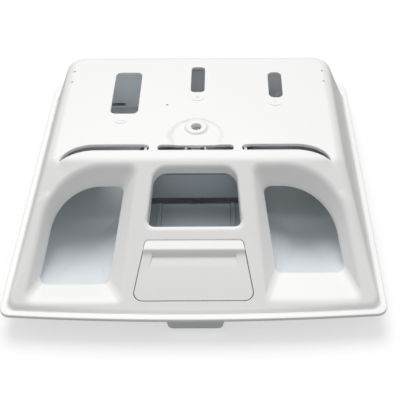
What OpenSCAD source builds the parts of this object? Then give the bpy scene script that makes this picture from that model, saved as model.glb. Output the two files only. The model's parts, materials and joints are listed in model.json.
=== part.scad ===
// Detergent dispenser of a top-loading washing machine, lying on its back.
// X runs across, Y from the latch to the water inlets, Z up from the surface it lies on.
// The modules draw in the frame of the lip: z = 0 is its top face and y = 0 its front corners.

/* [Lip] */
// Width of the lip that rests on the lid
lip_w = 280; // [262:1:320]
// Length of the lip from its front corners to its rear edge
lip_l = 280; // [272:1:310]
// How far the middle of the front edge bows forwards
lip_bow = 4.5; // [1:0.5:6]
// Thickness of the lip
lip_t = 2.4; // [1.8:0.2:3]
// Corner radius of the lip
lip_r = 8.5; // [5:0.5:14]
// Width of the flat lip outside the side and rear walls
flange = 5; // [3:0.5:7]
// Height of the lip above the surface under the housing
stand_h = 19; // [18:0.5:24]

/* [Cover] */
// Height of the rear panel above the lip
rise = 50; // [46:1:58]
// Wall thickness of the cover
wall = 2.2; // [1.6:0.1:2.6]
// How far a wall leans in for each millimetre of height
wall_lean = 0.4; // [0.3:0.02:0.46]
// Rounding of the upper edges
edge_r = 6; // [5:0.5:9]
// Corner radius of the rear panel
corner_r = 14; // [10:1:20]
// Distance from the front corners to the ridge
ridge_y = 114; // [110:1:120]
// Rounding of the ridge
ridge_r = 12; // [9:0.5:16]
// Height of the step behind the front lip
front_rise = 2.8; // [2.4:0.2:5]
// How far the ridge stands above the rear panel
crest_h = 1.6; // [0.6:0.1:2.4]

/* [Funnels] */
// Depth of the funnels, straight down from the sloping face
funnel_d = 11.6; // [9:0.2:13]
// Half the width of the web between the funnels, at the ridge
web_rear = 44.4; // [42.5:0.2:48]
// Half the width of the web between the funnels, at the front
web_front = 51.5; // [49:0.5:56]
// Rounding of the outer rear corner of a funnel
funnel_r = 46.2; // [44:0.2:52]
// Length of the sloping apron at the front of the left funnel
apron_left = 19.5; // [12:0.5:26]
// Length of the sloping apron at the front of the right funnel
apron_right = 27; // [16:0.5:32]
// How far the outer side of a funnel leans out towards the front, in degrees
flare_a = 7.7; // [4:0.1:10]

/* [Centre opening and button] */
// Width of the centre opening at its front
opening_w = 70.4; // [64:0.4:74]
// Length of the centre opening
opening_l = 49; // [44:1:50]
// Length of the release button along the sloping face
button_l = 45.6; // [42:0.2:48]
// Width of the release button at its rear
button_w = 73; // [66:0.5:76]
// Gap around the release button
button_gap = 0.6; // [0.4:0.1:1]
// Diameter of the trunnions that the button turns on
trunnion_d = 4; // [3:0.2:4.6]
// Radial clearance of the trunnions
trunnion_fit = 0.05; // [0.03:0.01:0.09]
// Width of the latch tongue
tongue_w = 43; // [34:1:50]
// Travel of the latch tongue
tongue_travel = 4; // [2:0.5:5]
// Gap between the lip and the tongue, for the rim of the lid
rim_gap = 3.2; // [2.4:0.2:4]

/* [Windows and slits] */
// Width of the large window
window_w = 22.6; // [16:0.2:28]
// Length of the large window
window_l = 58; // [40:1:66]
// Width of the two small windows
small_w = 11.6; // [8:0.2:16]
// Length of the two small windows
small_l = 36.5; // [26:0.5:42]
// Width of the slits behind the ridge
slit_w = 6.6; // [4.6:0.2:7]
// Length of the centre slit
slit_l = 60; // [40:1:64]
// Diameter of the small moulding holes
pin_hole_d = 1.8; // [1.2:0.2:2.4]

/* [Housing] */
// Wall thickness of the housing
skin = 2; // [1.6:0.1:2.4]
// Gap between the housing and the cover
fit = 0.4; // [0.3:0.1:0.8]
// Depth of the compartments below the lip
well_d = 12; // [9:0.5:13]
// Half the width of the centre compartment
centre_hw = 38.5; // [37.5:0.5:40]
// Outer diameter of the water inlets
inlet_d = 11; // [10:0.5:11]
// Distance from one water inlet to the next
inlet_pitch = 84; // [74:1:92]

/* [Screw and siphon] */
// Diameter of the recess for the screw head
screw_recess_d = 8; // [7.6:0.2:9]
// Depth of the recess for the screw head
screw_recess_h = 6; // [4:0.5:8]
// Diameter of the screw
screw_d = 4; // [3.4:0.1:4.4]
// Diameter of the siphon cap
siphon_d = 17; // [14.5:0.5:20]

/* [Hidden] */
$fn = 48;
eps = 0.05;

cover_white = [0.96, 0.96, 0.95];
housing_grey = [0.84, 0.86, 0.88];
insert_grey = [0.66, 0.70, 0.73];
steel = [0.72, 0.73, 0.75];
rubber = [0.16, 0.16, 0.17];

// Middle of the whole part along Y, which the origin stands under
mid_y = (lip_l - lip_bow) / 2;

// Walls of the cover: foot of each wall, and the centres of the rounded upper edges
foot_hw = lip_w / 2 - flange;
foot_front = flange + 1;
foot_rear = lip_l - flange - 1.5;
lean_k = sqrt(1 + wall_lean * wall_lean);
edge_z = rise - edge_r;
edge_in = wall_lean * edge_z + edge_r * lean_k;
edge_hw = foot_hw - edge_in;
edge_rear = foot_rear - edge_in;

// The sloping face runs from the step behind the front lip to the rounded ridge
run_y = ridge_y - foot_front;
run_z = rise - ridge_r - front_rise;
slope_a = atan2(run_z, run_y) + asin(ridge_r / norm([run_y, run_z]));
slope_k = tan(slope_a);
function slope_z(y) = front_rise + (y - foot_front) * slope_k;

// The screw, the siphon and the slits behind the ridge
slit_y = ridge_y + 12.4;
slit_bend_r = 38.5;
slit_bend_x = edge_hw - 33;
slit_bend_a = 51;
screw_y = ridge_y + 38;
screw_seat_z = rise - screw_recess_h;
siphon_y = slit_y;
siphon_pipe_d = siphon_d - 7;

// Levels of the housing, below the lip
floor_z = -well_d;
chamber_z = -stand_h + skin;
plate_t = 1.8;
insert_z = 6;
siphon_low = -1.5;
tray_front = foot_front + 6;
tray_rear = foot_rear - 5;
tray_hw = foot_hw - 6;
compartment_rear = tray_rear - 10;
inlet_z = -lip_t - inlet_d / 2 - 4;
inlet_wall = 2.2;
inlet_end = lip_l;
seal_t = 2.4;
groove_d = 1;
seal_y = tray_rear + 2.4;
inlets = [-inlet_pitch, 0, inlet_pitch];

// The release button and its hinge
button_front = foot_front + 3.6;
button_flare = 13;
button_hw = button_w / 2;
hinge_v = button_l - 7;
hinge_n = -trunnion_d / 2 - 3.1;
hinge_y = button_front + hinge_v * cos(slope_a) - hinge_n * sin(slope_a);
hinge_z = slope_z(button_front) + hinge_v * sin(slope_a) + hinge_n * cos(slope_a);
press_a = 6;
trunnion_x = button_hw + button_gap + 0.4;
ear_t = 4;
button_skin = 1.8;
recess_hw = button_hw - 5.8;
recess_flare = 2.3;
collar_d = 5.4;

// Throat of each funnel: length of the apron, inset of the inner and of the outer wall, corner radius
throat_left = [apron_left, 11.3, 4.2, funnel_r - 9];
throat_right = [apron_right, 8.8, 6.2, funnel_r - 4];
throat_lip = 1;
funnel_side = edge_hw + 10.6;
funnel_front = foot_front + 3;
funnel_rear = ridge_y - 8;

// Centre opening, its grey liner and the windows
opening_front = foot_front + 54;
opening_skirt = 8.6;
insert_hw = centre_hw - 0.4;
insert_rear = funnel_rear + 1.6;
rail_x = centre_hw - 9.1;
rail_w = 3;
window_y = edge_rear - 80;
pin_holes = [[edge_hw - 2, edge_rear - 20], [edge_hw - 2, edge_rear - 35.4],
             [2 - edge_hw, edge_rear - 20], [2 - edge_hw, edge_rear - 35.4],
             [-25, edge_rear - 68.5]];

// Chamber of the latch and the water channel
chamber_hw = button_hw + button_flare / 2 + button_gap + 2.8;
chamber_rear = opening_front - 4;
manifold_hw = inlet_pitch + 18;

// Arms of the button that push the tongue back. Their tips move back and down as it is pressed.
cam_x = 12;
cam_t = 2.4;
cam_y = hinge_y - 24;
cam_z = -4;
cam_reach = [hinge_y - cam_y - cam_t, hinge_z - cam_z];
cam_back = cam_reach[0] * (1 - cos(press_a)) + cam_reach[1] * sin(press_a);
cam_drop = cam_reach[0] * sin(press_a) - cam_reach[1] * (1 - cos(press_a));
ramp_k = (tongue_travel - cam_back) / cam_drop;
ramp_y = cam_y + cam_t + 0.2;

// Latch tongue and its spring
tongue_front = foot_front - 5.5;
tongue_low = chamber_z + 0.3;
tongue_high = -lip_t - rim_gap;
tongue_x = 1.2;
stop_t = 3;
stop_y = tray_front + skin + 0.2;
spring_y = stop_y + 18;
spring_r = 3.6;
spring_z = chamber_z + spring_r + 1.6;
spring_wire = 1.1;
spring_turns = 6;

function arc(c, r, a0, a1, n = 10) =
    [for (i = [0 : n]) c + r * [cos(a0 + (a1 - a0) * i / n), sin(a0 + (a1 - a0) * i / n)]];

// Outline of the lip or of a wall's foot: straight sides and rear, a front that bows forwards
function pan(hw, front, rear, rf, rr, bow) = concat(
    arc([hw - rf, front + rf], rf, 0, -90),
    [for (i = [1 : 15]) let (u = 1 - i / 8) [u * (hw - rf), front - bow * (1 - u * u)]],
    arc([rf - hw, front + rf], rf, -90, -180),
    arc([rr - hw, rear - rr], rr, 180, 90),
    arc([hw - rr, rear - rr], rr, 90, 0));

// Outline of a rounded rectangle
function block(x0, x1, y0, y1, r) = concat(
    arc([x1 - r, y0 + r], r, 0, -90, 5),
    arc([x0 + r, y0 + r], r, -90, -180, 5),
    arc([x0 + r, y1 - r], r, 180, 90, 5),
    arc([x1 - r, y1 - r], r, 90, 0, 5));

// Outline of a funnel seen from above, for the side with positive X. The outer side leans out by
// flare_a towards the front and runs into one large rounded corner at the rear.
function bowl(x_rear, x_front, x_side, y0, y1, big, g) =
    let (big_x = x_side - (big + (y1 - big - y0 - 6) * sin(flare_a)) / cos(flare_a))
    concat(
        arc([x_rear + 6, y1 - 6], 6 + g, 180, 90, 4),
        arc([big_x, y1 - big], big + g, 90, flare_a, 16),
        arc([x_side - 6 / cos(flare_a), y0 + 6], 6 + g, flare_a, -90, 5),
        arc([x_front + 5, y0 + 5], 5 + g, -90, -184, 4));

// Outline of a trapezium with round corners, in a sloping plane
function trapeze(hw_front, hw_rear, length, rf, rr, g) = concat(
    arc([hw_front - rf, rf], rf + g, 0, -90, 6),
    arc([rf - hw_front, rf], rf + g, -90, -180, 6),
    arc([rr - hw_rear, length - rr], rr + g, 180, 90, 6),
    arc([hw_rear - rr, length - rr], rr + g, 90, 0, 6));

module seat() translate([0, -mid_y, stand_h]) children();

// Lays an outline drawn in plan on the sloping face, moved straight up or down
module on_slope(up, t = 0.02)
    multmatrix([[1, 0, 0, 0], [0, 1, 0, 0], [0, slope_k, 1, slope_z(0) + up], [0, 0, 0, 1]])
        linear_extrude(t) children();

// Stands its children on the sloping face, with the face as their floor
module from_slope() translate([0, button_front, slope_z(button_front)]) rotate([slope_a, 0, 0]) children();

// Form of the raised cover, inset by t, with its foot carried down below the lip
module hat(t, down = 0) hull() {
    translate([0, 0, -down])
        linear_extrude(down + eps)
            polygon(pan(foot_hw - t * lean_k, foot_front - 0.5 + t, foot_rear - t * lean_k,
                        7, corner_r + 4, 3));
    translate([0, 0, front_rise - t * cos(slope_a)])
        linear_extrude(eps)
            polygon(block(-(foot_hw - wall_lean * front_rise - t * lean_k),
                          foot_hw - wall_lean * front_rise - t * lean_k,
                          foot_front + t * sin(slope_a), ridge_y, 6));
    for (s = [-1, 1]) {
        translate([s * (edge_hw - corner_r + edge_r), edge_rear - corner_r + edge_r, edge_z])
            rotate_extrude($fn = 36) translate([corner_r - edge_r, 0]) circle(r = edge_r - t, $fn = 24);
        translate([s * edge_hw, ridge_y + 4, edge_z])
            sphere(r = edge_r - t, $fn = 28);
    }
    translate([0, ridge_y, rise - ridge_r])
        rotate([0, 90, 0])
            cylinder(h = 2 * edge_hw - 10, r = ridge_r - t, center = true, $fn = 60);
}

function funnel_outline(g) =
    bowl(web_rear, web_front, funnel_side, funnel_front, funnel_rear, funnel_r, g);
function throat_outline(throat, g) =
    bowl(web_rear + throat[1], web_front + throat[1],
         funnel_side - throat[0] * tan(flare_a) - throat[2],
         funnel_front + throat[0], funnel_rear - 4.5, throat[3], g);

// Hollow of one funnel, from above the sloping face down through its throat
module funnel(s, throat) mirror([s < 0 ? 1 : 0, 0, 0]) {
    hull() {
        on_slope(0)
            polygon(funnel_outline(0));
        on_slope(-funnel_d)
            polygon(throat_outline(throat, 0));
    }
    on_slope(0, 9)
        polygon(funnel_outline(0));
    on_slope(-funnel_d - throat_lip - 3, throat_lip + 3)
        polygon(throat_outline(throat, 0));
}

// Outer form of one funnel, with walls of thickness g
module funnel_shell(s, throat, g) mirror([s < 0 ? 1 : 0, 0, 0]) hull() {
    on_slope(-0.8)
        polygon(funnel_outline(g));
    on_slope(-funnel_d - throat_lip - g + wall)
        polygon(throat_outline(throat, g));
}

// Space or wall of one side compartment: throat, ramp with its lowest point, and flat floor behind
module compartment(s, throat, g) mirror([s < 0 ? 1 : 0, 0, 0]) hull() {
    on_slope(-funnel_d - throat_lip - fit - 0.02)
        polygon(throat_outline(throat, g));
    translate([edge_hw - 26.5, ridge_y - 30, floor_z - g])
        cylinder(h = 1, r = 5 + g, $fn = 24);
    translate([0, 0, floor_z - g])
        linear_extrude(rise - floor_z - 12)
            polygon(block(centre_hw + skin - g, tray_hw - skin - 0.5 + g, ridge_y + 50,
                          compartment_rear + g, 4));
}

// Raised crest of the ridge, with large rounded ends that run into the sloping face
module crest() intersection() {
    rotate([90, 0, 90])
        linear_extrude(lip_w, center = true)
            polygon(concat(
                [[slit_y - slit_w / 2, rise - 1.5]],
                arc([slit_y - slit_w / 2 - 3, rise + 0.2 - 2], 3, 20, 70, 4),
                arc([ridge_y + 0.5, rise + crest_h - 14], 14, 84, 90 + slope_a, 8),
                [[foot_front + 45, slope_z(foot_front + 45) + eps],
                 [foot_front + 45, slope_z(foot_front + 45) - 1],
                 [ridge_y - 8, slope_z(ridge_y - 8) - 1]]));
    linear_extrude(rise + 10)
        polygon(concat(
            arc([slit_bend_x, slit_y - slit_bend_r], slit_bend_r - slit_w / 2, 0, 90, 16),
            arc([-slit_bend_x, slit_y - slit_bend_r], slit_bend_r - slit_w / 2, 90, 180, 16),
            [[-edge_hw - 8, foot_front + 40], [edge_hw + 8, foot_front + 40]]));
}

// Slit that follows the end of the ridge and narrows to a point
module side_slit() linear_extrude(40)
    polygon(concat(
        arc([slit_l / 2 + 6.6 + slit_w / 2, slit_y], slit_w / 2, 270, 90, 8),
        [for (i = [0 : 16]) let (u = i / 16, a = 90 - slit_bend_a * u)
            [slit_bend_x, slit_y - slit_bend_r]
            + (slit_bend_r + slit_w * (0.5 - pow(u, 3))) * [cos(a), sin(a)]],
        arc([slit_bend_x, slit_y - slit_bend_r], slit_bend_r - slit_w / 2,
            90 - slit_bend_a, 90, 16)));

module window(x, y0, w, l, r) translate([0, 0, rise - 6])
    linear_extrude(12) polygon(block(x - w / 2, x + w / 2, y0, y0 + l, r));

module windows() {
    window(-60.3, window_y, window_w, window_l, 4.6);
    window(0, window_y + window_l - small_l + 8, small_w, small_l, 3.4);
    window(66.6, window_y + window_l - small_l, small_w, small_l, 5);
}

// Centre opening, with a bevel along its front edge
module centre_opening() {
    linear_extrude(rise + 10)
        polygon([for (p = trapeze(opening_w / 2, opening_w / 2 - 2.6, opening_l, 5, 11, 0))
            p + [0, opening_front - 2]]);
    translate([0, opening_front - 2, slope_z(opening_front)])
        rotate([-24, 0, 0])
            linear_extrude(12)
                polygon(block(-opening_w / 2, opening_w / 2, -3.4, 8, 3));
}
module opening_collar()
    on_slope(-opening_skirt, opening_skirt - 0.6)
        polygon([for (p = trapeze(opening_w / 2, opening_w / 2 - 2.6, opening_l, 5, 11, wall))
            p + [0, opening_front - 2]]);

// Outline of the button's place on the sloping face
function button_outline(g) = trapeze(button_hw + button_flare / 2, button_hw, button_l, 6, 3, g);

module button_collar() from_slope()
    translate([0, 0, -collar_d])
        linear_extrude(collar_d - 1)
            polygon(button_outline(button_gap + 1.6));
module button_hole() from_slope()
    translate([0, 0, -9])
        linear_extrude(20)
            polygon(button_outline(button_gap));

// Ears of the cover that carry the button, one beside each end of its hinge line
module on_hinge(x, h, d) from_slope() translate([x, hinge_v, hinge_n])
    rotate([0, 90, 0])
        cylinder(h = h, d = d, center = true);
module ears() for (s = [-1, 1])
    on_hinge(s * (trunnion_x + ear_t / 2 + 0.2), ear_t, trunnion_d + 5);
module ear_bores() for (s = [-1, 1])
    on_hinge(s * (trunnion_x + ear_t / 2), ear_t + 6, trunnion_d + 2 * trunnion_fit);

module front_cover() color(cover_white) seat() difference() {
    union() {
        translate([0, 0, -lip_t])
            linear_extrude(lip_t)
                polygon(pan(lip_w / 2, 0, lip_l, lip_r, lip_r, lip_bow));
        hat(0);
        crest();
    }
    difference() {
        hat(wall, lip_t + 1);
        funnel_shell(-1, throat_left, wall);
        funnel_shell(1, throat_right, wall);
        opening_collar();
        button_collar();
        ears();
        translate([0, screw_y, screw_seat_z - 5]) cylinder(h = 20, d = screw_recess_d + 6);
        translate([0, siphon_y, 4]) cylinder(h = rise - 5, d = siphon_pipe_d);
    }
    funnel(-1, throat_left);
    funnel(1, throat_right);
    centre_opening();
    button_hole();
    ear_bores();
    windows();
    translate([0, 0, rise - 5]) {
        linear_extrude(20) polygon(block(-slit_l / 2, slit_l / 2, slit_y - slit_w / 2,
                                         slit_y + slit_w / 2, slit_w / 2 - 0.01));
        side_slit();
        mirror([1, 0, 0]) side_slit();
    }
    difference() {
        translate([0, screw_y - 11, rise - 1.4]) cylinder(h = 5, r = 21, $fn = 90);
        translate([0, screw_y, rise - 2]) cylinder(h = 2.1, d = screw_recess_d + 10);
    }
    translate([0, screw_y, screw_seat_z]) cylinder(h = 20, d = screw_recess_d);
    translate([0, screw_y, 0]) cylinder(h = rise, d = screw_d + 0.4);
    translate([0, siphon_y, 0]) cylinder(h = rise + 5, d = siphon_pipe_d - 4);
    for (p = pin_holes)
        translate([p[0], p[1], rise - 5]) cylinder(h = 10, d = pin_hole_d, $fn = 20);
}

module box(x0, x1, y0, y1, z0, z1) translate([x0, y0, z0]) cube([x1 - x0, y1 - y0, z1 - z0]);

// Outer walls, floor and stiffening ribs of the housing
module tray() {
    difference() {
        translate([0, 0, -stand_h])
            linear_extrude(stand_h + 5)
                polygon(block(-tray_hw, tray_hw, tray_front, tray_rear, 8));
        translate([0, 0, -stand_h - 1])
            linear_extrude(stand_h + 8)
                polygon(block(skin - tray_hw, tray_hw - skin, tray_front + skin, tray_rear - skin,
                              8 - skin));
    }
    box(-tray_hw + 1, tray_hw - 1, ridge_y - 36, tray_rear - 1, floor_z - skin, floor_z);
    for (x = [-3 : 3])
        box(x * 32 - 0.8, x * 32 + 0.8, ridge_y - 36, compartment_rear, -stand_h, floor_z - 1);
    for (y = [0 : 3])
        box(-tray_hw + 1, tray_hw - 1, ridge_y - 36 + y * 42, ridge_y - 34.4 + y * 42,
            -stand_h, floor_z - 1);
}

module centre_well(g) {
    box(-centre_hw - g, centre_hw + g, opening_front - 3 - g, compartment_rear + g,
        floor_z - g, rise + 20);
}

// Chamber of the latch, open above, with a notch for the tongue in the front wall
module latch_chamber(g) {
    box(-chamber_hw - g, chamber_hw + g, tray_front + skin - g, chamber_rear + g,
        chamber_z - g, g > 0 ? front_rise : rise);
}

module manifold(g) {
    box(-manifold_hw - g, manifold_hw + g, compartment_rear + skin - g, tray_rear - skin + g,
        -stand_h - 1 + (g > 0 ? 1 : 0), -lip_t - 2 + g);
}

module along_y(x, y, z) translate([x, y, z]) rotate([-90, 0, 0]) children();

module spigot(x) difference() {
    along_y(x, tray_rear - 1, inlet_z) cylinder(h = inlet_end - tray_rear + 1, d = inlet_d);
    along_y(x, seal_y, inlet_z)
        difference() {
            cylinder(h = seal_t, d = inlet_d + 4);
            translate([0, 0, -1]) cylinder(h = seal_t + 2, d = inlet_d - 2 * groove_d);
        }
}

module rear_housing() color(housing_grey) seat() difference() {
    union() {
        intersection() {
            hat(wall + fit, stand_h);
            union() {
                tray();
                compartment(-1, throat_left, skin);
                compartment(1, throat_right, skin);
                centre_well(skin);
                latch_chamber(skin);
                manifold(skin);
                box(-tray_hw + 1, tray_hw - 1, compartment_rear, compartment_rear + skin,
                    floor_z, rise);
            }
        }
        for (x = inlets)
            spigot(x);
        for (s = [-1, 1])
            difference() {
                box(s * 44 - 7, s * 44 + 7, tray_rear - 1, tray_rear + 7, -15, -7);
                box(s * 44 - 8, s * 44 + 8, tray_rear + 2.4, tray_rear + 4.6, -12, -6);
            }
    }
    compartment(-1, throat_left, 0);
    compartment(1, throat_right, 0);
    funnel_shell(-1, throat_left, wall + fit);
    funnel_shell(1, throat_right, wall + fit);
    on_slope(-opening_skirt - fit, rise)
        polygon(block(-chamber_hw, chamber_hw, tray_front + skin, opening_front - 2.4, 1));
    box(-chamber_hw, chamber_hw, tray_front - 1, tray_front + skin + 1, -lip_t + 0.2, rise);
    difference() {
        centre_well(0);
        translate([0, screw_y, floor_z - 1])
            cylinder(h = screw_seat_z - 5 - floor_z + 1, d = screw_d + 6);
        for (s = [-1, 1])
            box(s * (centre_hw - 0.8) - 0.8, s * (centre_hw - 0.8) + 0.8,
                opening_front - 4, ridge_y - 4, floor_z - 1, insert_z - 1.6);
        box(-centre_hw, centre_hw, screw_y - 0.8, screw_y + 0.8, floor_z - 1, 6);
    }
    latch_chamber(0);
    manifold(0);
    box(-manifold_hw - 1.2, manifold_hw + 1.2, compartment_rear + skin - 1.2,
        tray_rear - skin + 1.2, -stand_h - 1, -stand_h + plate_t);
    box(tongue_x - tongue_w / 2 - fit, tongue_x + tongue_w / 2 + fit, tray_front - 1,
        tray_front + skin + 1, chamber_z, tongue_high + fit);
    translate([0, screw_y, screw_seat_z - 30]) cylinder(h = 40, d = screw_d);
    for (x = inlets) {
        along_y(x, tray_rear - 4, inlet_z) cylinder(h = 20, d = inlet_d - 2 * inlet_wall);
        box(x - 12, x + 12, compartment_rear - 1, compartment_rear + skin + 1,
            floor_z + 2, -lip_t - 4);
    }
}

// Plate that closes the water channel from below
module channel_cover() color(housing_grey) seat() {
    box(-manifold_hw - 1, manifold_hw + 1, compartment_rear + skin - 1,
        tray_rear - skin + 1, -stand_h, -stand_h + plate_t);
}

// Grey liner under the centre opening: floor with rails, side walls, front and rear plates
module softener_insert() color(insert_grey) seat() difference() {
    union() {
        box(-insert_hw, insert_hw, opening_front - 2.4, insert_rear, insert_z - 1.6, insert_z);
        for (s = [-1, 1]) {
            box(s * (insert_hw - 0.7) - 0.7, s * (insert_hw - 0.7) + 0.7,
                opening_front - 2.4, insert_rear, insert_z - 1, rise);
            box(s * rail_x - rail_w / 2, s * rail_x + rail_w / 2, opening_front - 2.4, insert_rear,
                insert_z - 1, insert_z + 0.9);
        }
        box(-insert_hw, insert_hw, opening_front - 2.4, opening_front - 1, insert_z - 1, rise);
        box(-insert_hw, insert_hw, insert_rear - 1.6, insert_rear, insert_z + 8, rise);
    }
    on_slope(-opening_skirt - fit, rise + 10)
        polygon(block(-insert_hw - 5, insert_hw + 5, opening_front - 10, insert_rear + 5, 1));
    for (s = [-1, 1])
        box(s * (rail_x - 1.9) - 0.3, s * (rail_x - 1.9) + 0.3, opening_front, insert_rear + 1,
            insert_z - 0.8, insert_z + 2);
}

// Cup over the siphon pipe, held by three ribs
module siphon_cap() color(insert_grey) seat() translate([0, siphon_y, siphon_low]) {
    difference() {
        cylinder(h = rise - wall - siphon_low, d = siphon_d);
        translate([0, 0, 2])
            cylinder(h = rise, d = siphon_d - 3);
    }
    for (a = [30, 150, 270])
        rotate([0, 0, a])
            difference() {
                translate([siphon_pipe_d / 2 - 0.5, -0.6, 6])
                    cube([siphon_d / 2 - siphon_pipe_d / 2 - 0.3, 1.2, 30]);
                cylinder(h = rise, d = siphon_pipe_d);
            }
}

module cover_screw() color(steel) seat() translate([0, screw_y, screw_seat_z]) {
    difference() {
        union() {
            cylinder(h = 1.4, d = screw_recess_d - 0.6);
            translate([0, 0, 1.4])
                rotate_extrude()
                    intersection() {
                        translate([0, -8]) circle(r = 9.2, $fn = 96);
                        square([screw_recess_d / 2 - 0.3, 2]);
                    }
        }
        for (a = [0, 90])
            rotate([0, 0, a]) translate([-2.2, -0.45, 1]) cube([4.4, 0.9, 4]);
    }
    translate([0, 0, -18]) cylinder(h = 18 + eps, d = screw_d - 0.1);
    translate([0, 0, -21]) cylinder(h = 3, d1 = 1, d2 = screw_d - 0.1, $fn = 24);
}

// Side view of the button's shell: flat face, finger groove and ridge
button_face = concat(
    [[-2, 0], [button_l - 21.5, 0]],
    [[button_l - 13.2, -1.5]],
    arc([button_l - 11.6, -0.6], 1.6, 235, 300, 3),
    arc([button_l - 7.6, 0.4], 1.8, 140, 70, 4),
    [[button_l - 1, 0.5], [button_l + 2, 0.1]]);

// The same beside the groove, which ends short of the sides
button_plain = concat(
    [[-2, 0], [button_l - 11, 0]],
    arc([button_l - 7.6, 0.4], 1.8, 140, 70, 4),
    [[button_l - 1, 0.5], [button_l + 2, 0.1]]);

module button_plate(profile) intersection() {
    translate([0, 0, -6])
        linear_extrude(12)
            polygon(button_outline(0));
    rotate([90, 0, 90])
        linear_extrude(lip_w, center = true)
            polygon(concat(profile, [[button_l + 2, -2.2], [button_l - 14, -3.8], [-2, -2.2]]));
}

// Side view of its skirt, which is deepest at the hinge
button_side = [[-2, -1.4], [-2, -2.4], [hinge_v - 12, hinge_n - 1.2], [button_l + 2, hinge_n - 1.2],
               [button_l + 2, -1.4]];

module release_button() color(cover_white) seat() {
    from_slope() {
        button_plate(button_face);
        difference() {
            button_plate(button_plain);
            translate([0, 0, -6])
                linear_extrude(12)
                    polygon([[-recess_hw - recess_flare, button_l - 23], [-recess_hw, button_l - 9.4],
                             [recess_hw, button_l - 9.4], [recess_hw + recess_flare, button_l - 23]]);
        }
        intersection() {
            rotate([90, 0, 90])
                linear_extrude(lip_w, center = true)
                    polygon(button_side);
            difference() {
                translate([0, 0, -12])
                    linear_extrude(12)
                        polygon(button_outline(0));
                translate([0, 0, -13])
                    linear_extrude(14)
                        polygon(button_outline(-button_skin));
            }
        }
        for (s = [-1, 1])
            translate([s * (button_hw - 1.1) - 1.1, hinge_v - 3, hinge_n])
                cube([2.2, 6, -hinge_n - 1.4]);
    }
    for (s = [-1, 1]) {
        on_hinge(s * (trunnion_x + 0.9), 6, trunnion_d);
        on_hinge(s * (button_hw - 1.1), 2.2, trunnion_d + 4);
        box(s * cam_x - 1.2, s * cam_x + 1.2, cam_y, cam_y + cam_t, cam_z, slope_z(cam_y) - 2);
    }
}

// Latch tongue: a wide nose through the front wall, a stop behind it and two cam ramps
module latch_tongue() color(insert_grey) seat() {
    translate([tongue_x, stop_y + stop_t, 0])
        rotate([90, 0, 0])
            linear_extrude(stop_y + stop_t - tongue_front)
                polygon(concat(
                    [[-tongue_w / 2, tongue_high]],
                    arc([-tongue_w / 2 + 5.4, tongue_low + 4], 4, 180, 270, 6),
                    arc([tongue_w / 2 - 5.4, tongue_low + 4], 4, 270, 360, 6),
                    [[tongue_w / 2, tongue_high]]));
    box(-tongue_w / 2 - 4, tongue_w / 2 + 4, stop_y, stop_y + stop_t, tongue_low, tongue_high - 1);
    difference() {
        box(-cam_x - 3, cam_x + 3, stop_y, spring_y + 5, tongue_low, spring_z + spring_r + 1.6);
        along_y(0, spring_y, spring_z) cylinder(h = 20, r = spring_r + 0.5);
    }
    for (s = [-1, 1])
        translate([s * cam_x + 2, 0, 0])
            rotate([90, 0, -90])
                linear_extrude(4)
                    polygon([[3.2 * ramp_k - ramp_y, cam_z - 3.2], [-ramp_y - 6, cam_z - 3.2],
                             [-ramp_y - 6, cam_z + 2.6], [-2.6 * ramp_k - ramp_y, cam_z + 2.6]]);
}

// Helical spring: rings of points along the coil, joined into one tube
function coil_point(t, r) = let (a = 360 * spring_turns * t)
    [r * cos(a), r * sin(a), spring_wire / 2 + (chamber_rear - spring_y - spring_wire) * t];
module latch_spring() color(steel) seat() {
    steps = spring_turns * 14;
    sides = 8;
    wire = spring_wire / 2;
    points = [for (i = [0 : steps], j = [0 : sides - 1]) let (b = 360 * j / sides)
                  coil_point(i / steps, spring_r - wire + wire * cos(b)) + [0, 0, wire * sin(b)]];
    faces = concat(
        [[for (j = [0 : sides - 1]) j]],
        [for (i = [0 : steps - 1], j = [0 : sides - 1]) let (k = (j + 1) % sides)
            [i * sides + j, (i + 1) * sides + j, (i + 1) * sides + k, i * sides + k]],
        [[for (j = [sides - 1 : -1 : 0]) steps * sides + j]]);
    along_y(0, spring_y, spring_z) polyhedron(points, faces, convexity = 8);
}

module inlet_seal(x) color(rubber) seat()
    along_y(x, seal_y + seal_t / 2, inlet_z)
        rotate_extrude()
            translate([inlet_d / 2 - groove_d + seal_t / 2, 0])
                circle(d = seal_t, $fn = 24);

module inlet_seal_left() inlet_seal(-inlet_pitch);
module inlet_seal_centre() inlet_seal(0);
module inlet_seal_right() inlet_seal(inlet_pitch);

front_cover();
rear_housing();
channel_cover();
softener_insert();
siphon_cap();
cover_screw();
release_button();
latch_tongue();
latch_spring();
inlet_seal_left();
inlet_seal_centre();
inlet_seal_right();
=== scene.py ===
# Detergent dispenser of a top-loading washing machine: white moulded cover on a grey housing.
import json
import math

import bmesh
import bpy
import numpy as np
from mathutils import Matrix, Vector
from mathutils.bvhtree import BVHTree
from mathutils.geometry import delaunay_2d_cdt


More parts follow.
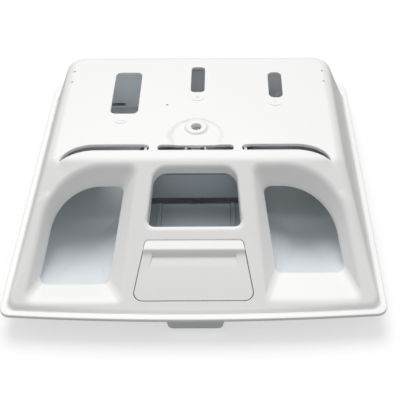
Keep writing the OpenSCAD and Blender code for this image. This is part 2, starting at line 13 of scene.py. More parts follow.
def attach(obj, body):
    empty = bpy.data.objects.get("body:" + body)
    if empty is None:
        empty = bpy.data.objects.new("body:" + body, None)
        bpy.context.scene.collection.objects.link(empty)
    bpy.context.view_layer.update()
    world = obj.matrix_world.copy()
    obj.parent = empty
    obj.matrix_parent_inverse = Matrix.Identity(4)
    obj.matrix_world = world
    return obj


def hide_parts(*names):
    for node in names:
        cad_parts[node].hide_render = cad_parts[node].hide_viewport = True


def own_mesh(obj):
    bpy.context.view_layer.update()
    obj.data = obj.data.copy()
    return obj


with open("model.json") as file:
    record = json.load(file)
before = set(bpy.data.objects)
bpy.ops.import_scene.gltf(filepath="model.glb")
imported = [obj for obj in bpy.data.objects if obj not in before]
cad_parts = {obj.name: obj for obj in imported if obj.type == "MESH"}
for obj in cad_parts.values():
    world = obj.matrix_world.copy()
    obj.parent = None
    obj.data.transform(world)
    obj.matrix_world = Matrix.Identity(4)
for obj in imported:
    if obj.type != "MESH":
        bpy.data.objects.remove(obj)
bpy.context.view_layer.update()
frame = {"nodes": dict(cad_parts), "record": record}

# Photograph: size in pixels, and the camera that was fitted to it
PHOTO_PX = 400
FOCAL_PX = 780
AXIS_PX_X = 225
PITCH_DOWN = 44.13
ROLL = -0.24
CAMERA_AT = (0.023, -0.4808, 0.466)

# The cover is drawn in millimetres from the top face of its lip and from its front corners
MID_Y = 137.75
STAND_H = 19.0
LIP_HW, LIP_L, LIP_BOW, LIP_T, LIP_R = 140.0, 280.0, 4.5, 2.4, 8.5
RISE, LEAN, EDGE_R = 50.0, 0.4, 6.0
FOOT_HW, FOOT_FRONT, FOOT_REAR, FOOT_BOW = 135.0, 5.5, 273.5, 4.3
CORNER_R, FOOT_CORNER_R = 14.0, 18.0
FRONT_Y, FRONT_Z = 6.0, 2.8
RIDGE_Y, RIDGE_R, CREST_H = 114.0, 12.0, 1.6
RUN_Y, RUN_Z = RIDGE_Y - FRONT_Y, RISE - RIDGE_R - FRONT_Z
SLOPE_A = math.atan2(RUN_Z, RUN_Y) + math.asin(RIDGE_R / math.hypot(RUN_Y, RUN_Z))
SLOPE_K = math.tan(SLOPE_A)
LEAN_K = math.hypot(1, LEAN)
EDGE_HW = FOOT_HW - LEAN * (RISE - EDGE_R) - EDGE_R * LEAN_K
EDGE_REAR = FOOT_REAR - LEAN * (RISE - EDGE_R) - EDGE_R * LEAN_K
SLIT_Y, SLIT_W, SLIT_L = RIDGE_Y + 12.4, 6.6, 60.0
BEND_R, BEND_X, BEND_A = 38.5, EDGE_HW - 33, 51.0
SCREW_Y, SCREW_HOLE_R = RIDGE_Y + 38, 4.0
FUNNEL_D, FUNNEL_R, FLARE_A = 11.6, 46.2, math.radians(7.7)
WEB_REAR, WEB_FRONT = 44.4, 51.5
FUNNEL_SIDE, FUNNEL_FRONT, FUNNEL_REAR = EDGE_HW + 10.6, FRONT_Y + 3, RIDGE_Y - 8
BUTTON_FRONT, BUTTON_L, BUTTON_HW, BUTTON_FLARE, BUTTON_GAP = 9.6, 45.6, 36.5, 13.0, 0.6
OPENING_FRONT, OPENING_W, OPENING_L = 63.5, 70.4, 41.6
OPENING_ROLL, OPENING_EDGE, SKIRT = 6.5, 2.2, 7.0

# Funnels: side, length of the apron, inset of the inner and of the outer wall, big radius of the throat
FUNNELS = ((-1, 19.5, 11.3, 4.2, FUNNEL_R - 9), (1, 27.0, 8.8, 6.2, FUNNEL_R - 4))
RIM_ROUND = 3.0
THROAT_BACK = 4.5

# Windows: middle in x, front edge, width, length and corner radius
WINDOW_Y = EDGE_REAR - 80
WINDOWS = ((-60.3, WINDOW_Y, 22.6, 58, 4.6), (0, WINDOW_Y + 29.5, 11.6, 36.5, 3.4),
           (66.6, WINDOW_Y + 21.5, 11.6, 36.5, 5))
MARKS = ((-62, 158), (0, 188), (65.5, 181))
PINHOLE_R = 0.9
PINHOLES = ((EDGE_HW - 2, EDGE_REAR - 20), (EDGE_HW - 2, EDGE_REAR - 35.4),
            (2 - EDGE_HW, EDGE_REAR - 20), (2 - EDGE_HW, EDGE_REAR - 35.4), (-25, EDGE_REAR - 68.5))
WALL_CUT = 2.2

# Light: brightness of the studio, of the main light and its softness in degrees
STUDIO, SUN, SUN_SPREAD, SUN_FROM = 0.59, 1.74, 40, (-0.08, 0.55, 0.83)

# Floor: how much it throws back at the object, how pale it is and how far it is lifted to white
FLOOR_THROWN, FLOOR_SEEN, FLOOR_LIFT = 0.35, 0.50, 0.56
# Weak light that reaches the compartments through the white plastic: place, size and power of each
GLOWS = ((-70, 205, 30, 0.0026), (0, 212, 20, 0.0015), (72, 210, 24, 0.0016))
GLOW_Z = 18


def slope_z(y):
    return FRONT_Z + (y - FRONT_Y) * SLOPE_K


def soft_step(a, b, x):
    t = np.clip((x - a) / (b - a), 0, 1)
    return t * t * (3 - 2 * t)


def soft_min(a, b, k):
    h = np.clip(k - np.abs(a - b), 0, None) / k
    return np.minimum(a, b) - h * h * k / 4


def soft_max(a, b, k):
    return -soft_min(-a, -b, k)


def rounded_corner(a, b, r):
    return np.minimum(-r, np.maximum(a, b)) + np.hypot(np.maximum(a + r, 0), np.maximum(b + r, 0))


def top_form(x, y):
    """Height of the panel, the ridge and the sloping face, without the side walls"""
    ax = np.abs(x)
    plain = soft_min(np.full_like(y, RISE), slope_z(y), 1.2)
    crest = slope_z(y) + CREST_H * np.clip((y - 51) / 58, 0, 1)
    crest = soft_min(crest, np.full_like(y, RISE + CREST_H), 1.8)
    dx, dy = np.maximum(ax - BEND_X, 0), y - (SLIT_Y - BEND_R)
    along = np.where(dy > 0, SLIT_Y - BEND_R + np.hypot(dx, dy), y + dx * soft_step(-20, 0, dy))
    bend = np.degrees(np.arctan2(dx, np.maximum(dy, 1e-3)))
    t = np.clip(along - (SLIT_Y - SLIT_W / 2 - 3.4), 0, 3.2)
    roll = 3.4 - np.sqrt(3.4 ** 2 - t * t)
    past = soft_step(40, 62, bend)
    fade = 1 - soft_step(110, 124, along)
    raised = (crest - plain) * (1 + (fade - 1) * past)
    front = plain + raised - roll * (1 - past)
    dip = 1.2 * soft_step(23, 18.5, np.hypot(x, y - SCREW_Y + 11))
    dip = np.maximum(dip, 0.5 * soft_step(46, 36, ax) * soft_step(138, 133, y))
    dip = dip * soft_step(7.6, 10.2, np.hypot(x, y - SCREW_Y))
    behind = soft_step(SLIT_Y - 1.6, SLIT_Y + 1.6, along)
    return front + (plain - dip - front) * behind


def cover_height(x, y):
    """Height of the outer face of the cover above the top face of the lip"""
    x, y = np.asarray(x, float), np.asarray(y, float)
    top = top_form(x, y)
    foot_y = FOOT_FRONT - FOOT_BOW * (1 - np.clip(np.abs(x) / FOOT_HW, 0, 1) ** 2)
    low, high = np.full_like(top, -60.0), top + 1
    radius = 1.4 + (EDGE_R - 1.4) * soft_step(1, 22, top)
    for _ in range(34):
        z = (low + high) / 2
        half_w = FOOT_HW - LEAN * z
        rear, front = FOOT_REAR - LEAN * z, foot_y + LEAN * z
        behind = y > 130
        corner = np.where(behind, FOOT_CORNER_R - 4 * np.clip(z, 0, RISE) / RISE, 7.0)
        qx = np.abs(x) - half_w + corner
        qy = np.abs(y - (rear + front) / 2) - (rear - front) / 2 + corner
        plan = np.hypot(np.maximum(qx, 0), np.maximum(qy, 0)) + np.minimum(np.maximum(qx, qy), 0) - corner
        lean = (z - top) * np.where(y < RIDGE_Y, math.cos(SLOPE_A), 1.0)
        inside = rounded_corner(plan / LEAN_K, lean, radius) < 0
        low, high = np.where(inside, z, low), np.where(inside, high, z)
    return soft_max(np.zeros_like(top), low, 2.6)


def surface_normal(height, x, y, step=0.06):
    gx = (height(x + step, y) - height(x - step, y)) / (2 * step)
    gy = (height(x, y + step) - height(x, y - step)) / (2 * step)
    n = np.stack([-gx, -gy, np.ones_like(gx)], -1)
    return n / np.linalg.norm(n, axis=-1, keepdims=True)


def arc(cx, cy, r, a0, a1, n):
    a = np.radians(np.linspace(a0, a1, n + 1))
    return np.stack([cx + r * np.cos(a), cy + r * np.sin(a)], -1)


def bowl(x_rear, x_front, x_side, y0, y1, big, g):
    flare = math.degrees(FLARE_A)
    big_x = x_side - (big + (y1 - big - y0 - 6) * math.sin(FLARE_A)) / math.cos(FLARE_A)
    return np.concatenate([
        arc(x_rear + 6, y1 - 6, 6 + g, 180, 90, 8),
        arc(big_x, y1 - big, big + g, 90, flare, 30),
        arc(x_side - 6 / math.cos(FLARE_A), y0 + 6, 6 + g, flare, -90, 10),
        arc(x_front + 5, y0 + 5, 5 + g, -90, -184, 9)])


def trapezium(hw_front, hw_rear, length, rf, rr, g):
    return np.concatenate([
        arc(hw_front - rf, rf, rf + g, 0, -90, 8), arc(rf - hw_front, rf, rf + g, -90, -180, 8),
        arc(rr - hw_rear, length - rr, rr + g, 180, 90, 10), arc(hw_rear - rr, length - rr, rr + g, 90, 0, 10)])


def block(x0, x1, y0, y1, r, n=8):
    return np.concatenate([arc(x1 - r, y0 + r, r, 0, -90, n), arc(x0 + r, y0 + r, r, -90, -180, n),
                           arc(x0 + r, y1 - r, r, 180, 90, n), arc(x1 - r, y1 - r, r, 90, 0, n)])


def lip_outline(inset):
    hw, r = LIP_HW - inset, LIP_R - inset
    rear, u = LIP_L - inset, 1 - np.arange(1, 60) / 30
    front = np.stack([u * (LIP_HW - LIP_R), inset - LIP_BOW * (1 - u * u)], -1)
    return np.concatenate([
        arc(hw - r, inset + r, r, 0, -90, 10), front, arc(r - hw, inset + r, r, -90, -180, 10),
        arc(r - hw, rear - r, r, 180, 90, 10), arc(hw - r, rear - r, r, 90, 0, 10)])


def split_long(rings, step=2.5):
    """Adds points to the long sides of matching closed outlines, at the same shares in each"""
    first = np.asarray(rings[0])
    count = np.maximum(1, np.ceil(np.linalg.norm(np.roll(first, -1, 0) - first, axis=1) / step)).astype(int)
    result = []
    for ring in rings:
        ring = np.asarray(ring, float)
        ahead = np.roll(ring, -1, 0)
        result.append(np.concatenate([ring[i] + (ahead[i] - ring[i]) * (np.arange(c) / c)[:, None]
                                      for i, c in enumerate(count)]))
    return result


class Skin:
    """Points, normals and faces of one moulded face, gathered piece by piece"""

    def __init__(self):
        self.points, self.normals, self.faces, self.count = [], [], [], 0

    def add(self, points, normals, faces):
        self.points.append(points)
        self.normals.append(normals)
        self.faces += [tuple(i + self.count for i in f) for f in faces]
        self.count += len(points)

    def add_rings(self, rings, first_normal=None, flip=False):
        grid = np.stack(rings)
        around = np.roll(grid, -1, 1) - np.roll(grid, 1, 1)
        down = np.gradient(grid, axis=0)
        normals = np.cross(down, around)
        normals /= np.maximum(np.linalg.norm(normals, axis=-1, keepdims=True), 1e-9)
        if flip:
            normals = -normals
        if first_normal is not None:
            normals[0] = first_normal
        k, n = grid.shape[:2]
        faces = []
        for i in range(k - 1):
            for j in range(n):
                quad = (i * n + j, i * n + (j + 1) % n, (i + 1) * n + (j + 1) % n, (i + 1) * n + j)
                faces.append(quad[::-1] if not flip else quad)
        self.add(grid.reshape(-1, 3), normals.reshape(-1, 3), faces)


def bend_rings(a, b, c, steps=6):
    return [(1 - t) ** 2 * a + 2 * t * (1 - t) * b + t * t * c for t in np.linspace(0, 1, steps + 1)]


def lift(ring, height):
    return np.column_stack([ring, height(ring[:, 0], ring[:, 1])])


def outward(ring):
    d = np.roll(ring, -1, 0) - np.roll(ring, 1, 0)
    n = np.stack([-d[:, 1], d[:, 0]], -1)
    n /= np.maximum(np.linalg.norm(n, axis=1, keepdims=True), 1e-9)
    return n


def cut_edge(skin, height, ring, round_by, down, depth):
    """Rounded edge of an opening with straight walls; returns the loop left open in the face"""
    edge = ring + outward(ring) * round_by
    a, b = lift(edge, height), lift(ring, height)
    wall = np.asarray(down, float)
    r = np.asarray(round_by, float).reshape(-1, 1) if np.ndim(round_by) else round_by
    c = b + wall * r
    skin.add_rings(bend_rings(a, b, c) + [b + wall * depth],
                   surface_normal(height, edge[:, 0], edge[:, 1]))
    return edge


def funnel_face(skin, height, side, apron, inner, outer, big):
    values = (WEB_REAR, WEB_FRONT, FUNNEL_SIDE, FUNNEL_FRONT, FUNNEL_REAR, FUNNEL_R)
    throat = (WEB_REAR + inner, WEB_FRONT + inner, FUNNEL_SIDE - apron * math.tan(FLARE_A) - outer,
              FUNNEL_FRONT + apron, FUNNEL_REAR - THROAT_BACK, big)
    edge, rim, mouth = split_long([bowl(*values, RIM_ROUND), bowl(*values, 0), bowl(*throat, 0)])
    flip = np.array([side, 1.0])
    edge, rim, mouth = edge * flip, rim * flip, mouth * flip
    a, b = lift(edge, height), lift(rim, height)
    d = np.column_stack([mouth, slope_z(mouth[:, 1]) - FUNNEL_D])
    wall = d - b
    length = np.linalg.norm(wall, axis=1, keepdims=True)
    wall = wall / length
    c = b + wall * np.minimum(RIM_ROUND * 1.2, length * 0.4)
    lip = np.minimum(2.0, length * 0.25)
    low = np.array([0, 0, -1.0])
    straight = [c + (d - wall * lip - c) * t for t in (0.33, 0.67)]
    rings = bend_rings(a, b, c) + straight + bend_rings(d - wall * lip, d, d + low * 1.2) + [d + low * 3]
    skin.add_rings(rings, surface_normal(height, edge[:, 0], edge[:, 1]), flip=side < 0)
    return edge


def fill_face(skin, height, outer, holes, xs, ys, close):
    """Covers the area between an outer outline and its openings with one smooth face"""
    points, edges, loops = [], [], [outer] + holes
    for loop in loops:
        n0 = len(points)
        points += [Vector(p) for p in loop]
        edges += [(n0 + i, n0 + (i + 1) % len(loop)) for i in range(len(loop))]
    gx, gy = np.meshgrid(xs, ys)
    grid = np.concatenate([np.column_stack([gx.ravel(), gy.ravel()]), close])
    keep = inside_loop(grid, outer, -0.5)
    for hole in holes:
        keep &= ~inside_loop(grid, hole, 0.5)
    points += [Vector(p) for p in grid[keep]]
    verts, _, faces, _, _, _ = delaunay_2d_cdt(points, edges, [], 0, 1e-5)
    flat = np.array([tuple(v) for v in verts])
    tri = np.array(faces)
    centre = flat[tri].mean(1)
    good = inside_loop(centre, outer, 0)
    for hole in holes:
        good &= ~inside_loop(centre, hole, 0)
    tri = tri[good]
    pos = lift(flat, height)
    skin.add(pos, surface_normal(height, flat[:, 0], flat[:, 1]), [tuple(int(i) for i in t) for t in tri])


def inside_loop(points, loop, margin):
    """Even-odd test, widened outwards by the margin, or narrowed where it is negative"""
    x, y = points[:, 0], points[:, 1]
    ahead = np.roll(loop, -1, 0)
    inside = np.zeros(len(points), bool)
    near = np.full(len(points), 1e9)
    box = (loop.min(0) - 2, loop.max(0) + 2)
    pick = (x > box[0][0]) & (x < box[1][0]) & (y > box[0][1]) & (y < box[1][1])
    px, py = x[pick], y[pick]
    odd = np.zeros(len(px), bool)
    dist = np.full(len(px), 1e9)
    for (x0, y0), (x1, y1) in zip(loop, ahead):
        if y0 != y1:
            cross = (y0 > py) != (y1 > py)
            odd ^= cross & (px < (x1 - x0) * (py - y0) / (y1 - y0) + x0)
        if margin:
            ex, ey = x1 - x0, y1 - y0
            t = np.clip(((px - x0) * ex + (py - y0) * ey) / max(ex * ex + ey * ey, 1e-9), 0, 1)
            dist = np.minimum(dist, np.hypot(px - x0 - t * ex, py - y0 - t * ey))
    inside[pick], near[pick] = odd, dist
    if margin > 0:
        return inside | (near < margin)
    if margin < 0:
        return inside & (near > -margin)
    return inside


def skin_object(name, skin):
    points = np.concatenate(skin.points) + (0, -MID_Y, STAND_H)
    mesh = bpy.data.meshes.new(name)
    mesh.from_pydata((points / 1000).tolist(), [], skin.faces)
    mesh.update()
    normals = np.concatenate(skin.normals)
    mesh.polygons.foreach_set("use_smooth", [True] * len(mesh.polygons))
    mesh.normals_split_custom_set_from_vertices(normals.tolist())
    obj = bpy.data.objects.new(name, mesh)
    bpy.context.scene.collection.objects.link(obj)
    return obj


def merged(node):
    """Mesh of a solid with its loose triangles joined up"""
    bm = bmesh.new()
    bm.from_mesh(frame["nodes"][node].data)
    bmesh.ops.remove_doubles(bm, verts=bm.verts, dist=1e-6)
    return bm


def link_mesh(bm, name):
    mesh = bpy.data.meshes.new(name)
    bm.to_mesh(mesh)
    bm.free()
    obj = bpy.data.objects.new(name, mesh)
    bpy.context.scene.collection.objects.link(obj)
    return obj


def hidden_side(node, skin_obj, reach):
    """Copy of a solid's faces that the smooth face does not replace; reach is in millimetres"""
    bm = merged(node)
    tree = BVHTree.FromObject(skin_obj, bpy.context.evaluated_depsgraph_get())
    centres = [f.calc_center_median() for f in bm.faces]
    place = np.array(centres) * 1000 - (0, -MID_Y, STAND_H)
    corners = np.array([v.co for v in bm.verts]) * 1000 - (0, -MID_Y, STAND_H)
    outer = corners[:, 2] > cover_height(corners[:, 0], corners[:, 1]) - reach / 2
    shallow = place[:, 2] > cover_height(place[:, 0], place[:, 1]) - reach
    shallow |= np.array([any(outer[v.index] for v in f.verts) for f in bm.faces])
    gone = [f for f, c, near in zip(bm.faces, centres, shallow)
            if near or tree.find_nearest(c)[3] < reach / 1000]
    bmesh.ops.delete(bm, geom=gone, context="FACES")
    return link_mesh(bm, node + "_inside")


def bake_modifiers(obj):
    shape = bpy.data.meshes.new_from_object(obj.evaluated_get(bpy.context.evaluated_depsgraph_get()))
    obj.modifiers.clear()
    obj.data = shape


def softened_copy(node, name, edge, sharp=38):
    """Copy of a solid with smooth curved faces and, where edge is given, rounded edges"""
    bm = merged(node)
    bmesh.ops.dissolve_limit(bm, angle_limit=math.radians(0.3), verts=bm.verts, edges=bm.edges)
    obj = link_mesh(bm, name)
    if edge:
        bevel = obj.modifiers.new("edges", "BEVEL")
        bevel.width = edge / 1000
        bevel.segments = 3
        bevel.limit_method = "ANGLE"
        bevel.angle_limit = math.radians(sharp)
        bake_modifiers(obj)
    obj.data.polygons.foreach_set("use_smooth", [True] * len(obj.data.polygons))
    obj.data.set_sharp_from_angle(angle=math.radians(sharp))
    weighted = obj.modifiers.new("flat faces stay flat", "WEIGHTED_NORMAL")
    weighted.keep_sharp = True
    bake_modifiers(obj)
    return obj


def join(objects, name):
    with bpy.context.temp_override(active_object=objects[0], selected_editable_objects=objects):
        bpy.ops.object.join()
    objects[0].name = name
    return objects[0]


def lines(*spans):
    """Grid lines: each span is (from, to, spacing)"""
    out = [np.linspace(a, b, max(1, round((b - a) / s)), endpoint=False) for a, b, s in spans]
    return np.concatenate(out + [[spans[-1][1]]])


def raised_line(skin, height, path, width=0.9, proud=0.3):
    """Thin rounded line that stands proud of a face along a path"""
    path = np.asarray(path, float)
    along = np.gradient(path, axis=0)
    side = np.stack([-along[:, 1], along[:, 0]], -1)
    side /= np.linalg.norm(side, axis=1, keepdims=True)
    ends = np.minimum(np.arange(len(path)), np.arange(len(path))[::-1])
    taper = np.where(ends == 0, 0.35, 1.0)
    across = np.array([-1, -0.7, -0.35, 0, 0.35, 0.7, 1])
    bulge = np.array([-0.3, 0.6, 0.95, 1, 0.95, 0.6, -0.3]) * proud
    flat = path[:, None] + side[:, None] * (across[:, None] * width / 2) * taper[:, None, None]
    z = height(flat[..., 0], flat[..., 1]) + bulge * np.where(ends == 0, -0.3, 1.0)[:, None]
    grid = np.concatenate([flat, z[..., None]], -1)
    normals = np.cross(np.gradient(grid, axis=0), np.gradient(grid, axis=1))
    normals /= np.linalg.norm(normals, axis=-1, keepdims=True)
    up = np.where(normals[..., 2:] < 0, -1, 1)
    k, n = grid.shape[:2]
    quads = [(i * n + j, i * n + j + 1, (i + 1) * n + j + 1, (i + 1) * n + j)
             for i in range(k - 1) for j in range(n - 1)]
    if up.mean() > 0:
        quads = [q[::-1] for q in quads]
    skin.add(grid.reshape(-1, 3), (normals * up).reshape(-1, 3), quads)


def window_marks(skin, height):
    """Plain moulded signs in front of the windows: an arc with a second arc, a ring or a stroke"""
    for kind, (x, y) in enumerate(MARKS):
        raised_line(skin, height, arc(x, y + 4.5, 6, 205, 335, 18))
        if kind == 0:
            raised_line(skin, height, arc(x, y + 4.5, 3.2, 200, 340, 12))
        elif kind == 1:
            raised_line(skin, height, arc(x, y + 3.6, 1.2, 0, 360, 16))
        else:
            raised_line(skin, height, np.linspace((x, y + 1.2), (x, y + 5.4), 5))


def build_cover():
    skin, height = Skin(), cover_height
    down = np.array([0, 0, -1.0])
    holes = [funnel_face(skin, height, *funnel) for funnel in FUNNELS]
    ring, = split_long([trapezium(OPENING_W / 2, OPENING_W / 2 - 2.6, OPENING_L, 5, 11, 0)])
    ring = ring + (0, OPENING_FRONT)
    front = OPENING_EDGE + (OPENING_ROLL - OPENING_EDGE) * soft_step(OPENING_FRONT + 7, OPENING_FRONT, ring[:, 1])
    holes.append(cut_edge(skin, height, ring, front[:, None], down, SKIRT + front[:, None] * 0.2))
    ring, = split_long([trapezium(BUTTON_HW + BUTTON_FLARE / 2, BUTTON_HW, BUTTON_L, 6, 3, BUTTON_GAP)])
    ring = np.column_stack([ring[:, 0], BUTTON_FRONT + ring[:, 1] * math.cos(SLOPE_A)])
    into = np.array([0, math.sin(SLOPE_A), -math.cos(SLOPE_A)])
    holes.append(cut_edge(skin, height, ring, 0.6, into, 5.4))
    for x, y0, w, l, r in WINDOWS:
        ring, = split_long([block(x - w / 2, x + w / 2, y0, y0 + l, r)])
        holes.append(cut_edge(skin, height, ring, 0.7, down, WALL_CUT))
    for x, y in PINHOLES:
        holes.append(cut_edge(skin, height, arc(x, y, PINHOLE_R, 360, 0, 20)[:-1], 0.3, down, WALL_CUT))
    holes.append(cut_edge(skin, height, arc(0, SCREW_Y, SCREW_HOLE_R, 360, 0, 40)[:-1], 1.0, down, 6))
    ring, = split_long([block(-SLIT_L / 2, SLIT_L / 2, SLIT_Y - SLIT_W / 2, SLIT_Y + SLIT_W / 2, 3.2)])
    holes.append(cut_edge(skin, height, ring, 0.6, down, 2.4))
    for side in (-1, 1):
        u = np.linspace(0, 1, 31)
        a = np.radians(90 - BEND_A * u)
        r = BEND_R + SLIT_W * (0.5 - u ** 3)
        far = np.column_stack([BEND_X + r * np.cos(a), SLIT_Y - BEND_R + r * np.sin(a)])
        near = arc(BEND_X, SLIT_Y - BEND_R, BEND_R - SLIT_W / 2, 90 - BEND_A, 90, 30)[1:]
        ring = np.concatenate([arc(SLIT_L / 2 + 6.6 + SLIT_W / 2, SLIT_Y, SLIT_W / 2, 270, 90, 12), far[1:], near])
        ring, = split_long([ring])
        if side < 0:
            ring = (ring * (-1, 1))[::-1]
        slim = 0.6 * soft_step(0.2, 3, np.abs(np.abs(ring[:, 0]) - (BEND_X + 32)) + np.abs(ring[:, 1] - 112) / 3)
        holes.append(cut_edge(skin, height, ring, 0.15 + slim[:, None] * 0.75, down, 2.6))
    outer_in, outer = split_long([lip_outline(1.0), lip_outline(0.0)])
    a, b = lift(outer_in, height), lift(outer, lambda x, y: np.zeros_like(x))
    low = b + down * LIP_T
    rings = bend_rings(a, b, b + down) + bend_rings(b + down * (LIP_T - 0.5), low, low + (a - b) * (0.5, 0.5, 0))
    skin.add_rings(rings, surface_normal(height, outer_in[:, 0], outer_in[:, 1]), flip=True)
    xs = lines((-140, -136.4, 0.9), (-136.4, -131, 0.7), (-131, -118, 1.3), (-118, -106, 0.8), (-106, -36, 3.5),
               (-36, 36, 2.4), (36, 106, 3.5), (106, 118, 0.8), (118, 131, 1.3), (131, 136.4, 0.7), (136.4, 140, 0.9))
    ys = lines((-4.5, 12, 0.75), (12, 100, 3.5), (100, 131, 0.8), (131, 175, 2.2), (175, 244, 3.5),
               (244, 258, 0.8), (258, 270, 1.3), (270, 276, 0.7), (276, 280, 1.0))
    rings = [arc(0, SCREW_Y, r, 360, 0, 72)[:-1] for r in np.arange(5.6, 12.6, 0.55)]
    bridge = np.stack(np.meshgrid(np.arange(28, 40, 0.55), np.arange(120.6, 132, 0.55)), -1).reshape(-1, 2)
    close = np.concatenate(rings + [bridge + (0.07, 0.05), bridge * (-1, 1) + (0.07, 0.05)])
    fill_face(skin, height, outer_in, holes, xs, ys, close)
    window_marks(skin, height)
    face = skin_object("cover_face", skin)
    return join([face, hidden_side("front_cover", face, 1.1)], "moulded_cover")


def add_camera():
    data = bpy.data.cameras.new("camera")
    data.sensor_width = 36
    data.lens = FOCAL_PX / PHOTO_PX * data.sensor_width
    data.shift_x = (PHOTO_PX / 2 - AXIS_PX_X) / PHOTO_PX
    data.clip_start = 0.01
    camera = bpy.data.objects.new("camera", data)
    camera.location = CAMERA_AT
    tilt = Matrix.Rotation(math.radians(90 - PITCH_DOWN), 3, "X")
    roll = Matrix.Rotation(math.radians(ROLL), 3, "Z")
    camera.rotation_euler = (tilt @ roll).to_euler()
    bpy.context.scene.collection.objects.link(camera)
    bpy.context.scene.camera = camera


def add_lights():
    sun = bpy.data.lights.new("main light", "SUN")
    sun.energy = SUN
    sun.angle = math.radians(SUN_SPREAD)
    lamp = bpy.data.objects.new("main light", sun)
    lamp.rotation_euler = Vector(SUN_FROM).to_track_quat("Z", "Y").to_euler()
    bpy.context.scene.collection.objects.link(lamp)
    for x, y, size, power in GLOWS:
        area = bpy.data.lights.new("light through the cover", "AREA")
        area.size = size / 1000
        area.energy = power
        area.spread = math.radians(110)
        lamp = bpy.data.objects.new("light through the cover", area)
        lamp.location = (x / 1000, (y - MID_Y) / 1000, (STAND_H + GLOW_Z) / 1000)
        lamp.rotation_euler = (math.radians(90), 0, 0)
        lamp.visible_camera = False
        bpy.context.scene.collection.objects.link(lamp)
    scene = bpy.context.scene
    scene.view_settings.view_transform = "Standard"
    world = bpy.data.worlds.new("studio")
    scene.world = world
    world.use_nodes = True
    nodes, links = world.node_tree.nodes, world.node_tree.links
    nodes.clear()
    out = nodes.new("ShaderNodeOutputWorld")
    back = nodes.new("ShaderNodeBackground")
    path = nodes.new("ShaderNodeLightPath")
    seen = nodes.new("ShaderNodeMath")
    seen.operation = "MAXIMUM"
    links.new(path.outputs["Is Camera Ray"], seen.inputs[0])
    links.new(path.outputs["Is Glossy Ray"], seen.inputs[1])
    level = nodes.new("ShaderNodeMapRange")
    level.inputs["To Min"].default_value = STUDIO
    level.inputs["To Max"].default_value = 1.0
    links.new(seen.outputs[0], level.inputs["Value"])
    links.new(level.outputs[0], back.inputs["Strength"])
    links.new(back.outputs[0], out.inputs["Surface"])


def surface_group():
    """Fine moulded grain, with a slow drift of shade and of gloss over the piece"""
    group = bpy.data.node_groups.new("moulded surface", "ShaderNodeTree")
    face = group.interface
    face.new_socket("Place", in_out="INPUT", socket_type="NodeSocketVector")
    face.new_socket("Colour", in_out="INPUT", socket_type="NodeSocketColor")
    for label in ("Shade drift", "Roughness", "Gloss drift", "Grain scale"):
        face.new_socket(label, in_out="INPUT", socket_type="NodeSocketFloat")
    for label, kind in (("Colour", "NodeSocketColor"), ("Roughness", "NodeSocketFloat"), ("Height", "NodeSocketFloat")):
        face.new_socket(label, in_out="OUTPUT", socket_type=kind)
    nodes, links = group.nodes, group.links
    given, result = nodes.new("NodeGroupInput"), nodes.new("NodeGroupOutput")
    slow = nodes.new("ShaderNodeTexNoise")
    slow.inputs["Scale"].default_value = 22
    slow.inputs["Detail"].default_value = 3
    grain = nodes.new("ShaderNodeTexNoise")
    grain.inputs["Detail"].default_value = 2
    links.new(given.outputs["Place"], slow.inputs["Vector"])
    links.new(given.outputs["Place"], grain.inputs["Vector"])
    links.new(given.outputs["Grain scale"], grain.inputs["Scale"])

    def math_node(operation, a, b, c=None):
        node = nodes.new("ShaderNodeMath")
        node.operation = operation
        for socket, value in zip(node.inputs, (a, b, c)):
            if value is None:
                continue
            if isinstance(value, (int, float)):
                socket.default_value = value
            else:
                links.new(value, socket)
        return node.outputs[0]

    centred = math_node("SUBTRACT", slow.outputs["Fac"], 0.5)
    shade = math_node("MULTIPLY_ADD", centred, given.outputs["Shade drift"], 1.0)
    gloss = math_node("MULTIPLY_ADD", centred, given.outputs["Gloss drift"], given.outputs["Roughness"])
    tint = nodes.new("ShaderNodeVectorMath")
    tint.operation = "SCALE"
    links.new(given.outputs["Colour"], tint.inputs[0])
    links.new(shade, tint.inputs["Scale"])
    links.new(tint.outputs[0], result.inputs["Colour"])
    links.new(gloss, result.inputs["Roughness"])
    links.new(grain.outputs["Fac"], result.inputs["Height"])
    return group


def moulded(name, colour, rough, shade_drift=0.02, gloss_drift=0.08, grain=900, depth=0.12,
            metallic=0.0, stretch=None):
    """Material on the shared surface; grain is its scale and depth the strength of its relief"""
    material = bpy.data.materials.new(name)
    material.use_nodes = True
    nodes, links = material.node_tree.nodes, material.node_tree.links
    shader = nodes["Principled BSDF"]
    shader.inputs["Metallic"].default_value = metallic
    place = nodes.new("ShaderNodeTexCoord").outputs["Object"]
    if stretch:
        mapping = nodes.new("ShaderNodeMapping")
        mapping.inputs["Scale"].default_value = stretch
        links.new(place, mapping.inputs["Vector"])
        place = mapping.outputs["Vector"]
    surface = nodes.new("ShaderNodeGroup")
    surface.node_tree = SURFACE
    links.new(place, surface.inputs["Place"])
    for label, value in (("Colour", (*colour, 1)), ("Shade drift", shade_drift), ("Roughness", rough),
                         ("Gloss drift", gloss_drift), ("Grain scale", grain)):
        surface.inputs[label].default_value = value
    bump = nodes.new("ShaderNodeBump")
    bump.inputs["Strength"].default_value = depth
    bump.inputs["Distance"].default_value = 0.0002
    links.new(surface.outputs["Height"], bump.inputs["Height"])
    links.new(surface.outputs["Colour"], shader.inputs["Base Color"])
    links.new(surface.outputs["Roughness"], shader.inputs["Roughness"])
    links.new(bump.outputs["Normal"], shader.inputs["Normal"])
    return material


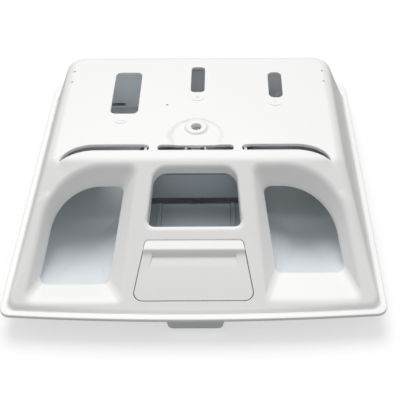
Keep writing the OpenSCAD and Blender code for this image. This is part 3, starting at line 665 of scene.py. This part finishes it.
def add_floor():
    """Plain pale floor: white to the camera, and darker where it throws light back at the object"""
    bpy.ops.mesh.primitive_plane_add(size=6, location=(0, 0, -0.0002))
    floor = bpy.context.object
    floor.name = "floor"
    material = bpy.data.materials.new("pale floor")
    material.use_nodes = True
    floor.data.materials.append(material)
    nodes, links = material.node_tree.nodes, material.node_tree.links
    shader = nodes["Principled BSDF"]
    shader.inputs["Roughness"].default_value = 0.95
    shader.inputs["Specular IOR Level"].default_value = 0.0
    path = nodes.new("ShaderNodeLightPath")
    seen = nodes.new("ShaderNodeMix")
    seen.data_type = "RGBA"
    seen.inputs[6].default_value = (FLOOR_THROWN,) * 3 + (1,)
    seen.inputs[7].default_value = (FLOOR_SEEN,) * 3 + (1,)
    links.new(path.outputs["Is Camera Ray"], seen.inputs[0])
    links.new(seen.outputs[2], shader.inputs["Base Color"])
    glow = nodes.new("ShaderNodeEmission")
    glow.inputs["Color"].default_value = (FLOOR_LIFT,) * 3 + (1,)
    both = nodes.new("ShaderNodeAddShader")
    links.new(path.outputs["Is Camera Ray"], glow.inputs["Strength"])
    links.new(shader.outputs[0], both.inputs[0])
    links.new(glow.outputs[0], both.inputs[1])
    links.new(both.outputs[0], nodes["Material Output"].inputs["Surface"])


def finish_piece(piece, node, body, finish=None):
    """Gives a piece the place and the finish of the solid that it replaces"""
    slot = SLOTS[node]
    piece.data.materials.clear()
    piece.data.materials.append(FINISHES[finish or slot])
    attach(piece, body)
    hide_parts(node)


SURFACE = surface_group()
FINISHES = {
    "cover_white": moulded("white cover plastic", (0.9, 0.9, 0.89), 0.38),
    "housing_grey": moulded("pale housing plastic", (0.74, 0.78, 0.81), 0.5, shade_drift=0.04),
    # Insert grey: partly the insert's own blue-grey plastic, partly painted shade, set darker so the deep centre well
    # looks shaded
    "insert_grey": moulded("grey insert plastic with painted shade", (0.42, 0.47, 0.50), 0.48, shade_drift=0.05),
    "steel": moulded("drawn steel", (0.62, 0.63, 0.65), 0.3, metallic=1.0, grain=400, stretch=(1, 1, 9)),
    # Latch grey: a paler copy of the insert grey, painted light that brightens the latch where it sits in shade under
    # the lip
    "latch_grey_painted_light": moulded("latch plastic painted paler", (0.80, 0.85, 0.86), 0.45),
    "seal": moulded("seal rubber", (0.035, 0.035, 0.037), 0.62, gloss_drift=0.15, grain=600, depth=0.3),
}
SLOTS = {part["node"]: part["material_slot"] for part in frame["record"]["subparts"]}

add_camera()
add_lights()
add_floor()
for name, solid in frame["nodes"].items():
    solid.data.materials.clear()
    solid.data.materials.append(FINISHES[SLOTS[name]])

finish_piece(build_cover(), "front_cover", "housing")
for node, name, body, edge, finish in (
        ("rear_housing", "grey_housing", "housing", 0, None),
        ("channel_cover", "water_channel_cover", "housing", 0.3, None),
        ("softener_insert", "softener_tray", "housing", 0.3, None),
        ("siphon_cap", "siphon_dome", "housing", 0.3, None),
        # the latch takes the paler grey: painted light on a part in the lip's shade
        ("latch_tongue", "latch_slider", "latch", 0.4, "latch_grey_painted_light"),
        ("release_button", "press_button", "button", 0.5, None)):
    finish_piece(softened_copy(node, name, edge), node, body, finish)
spring = softened_copy("latch_spring", "coil_spring", 0)
finish_piece(spring, "latch_spring", "housing")
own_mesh(spring)
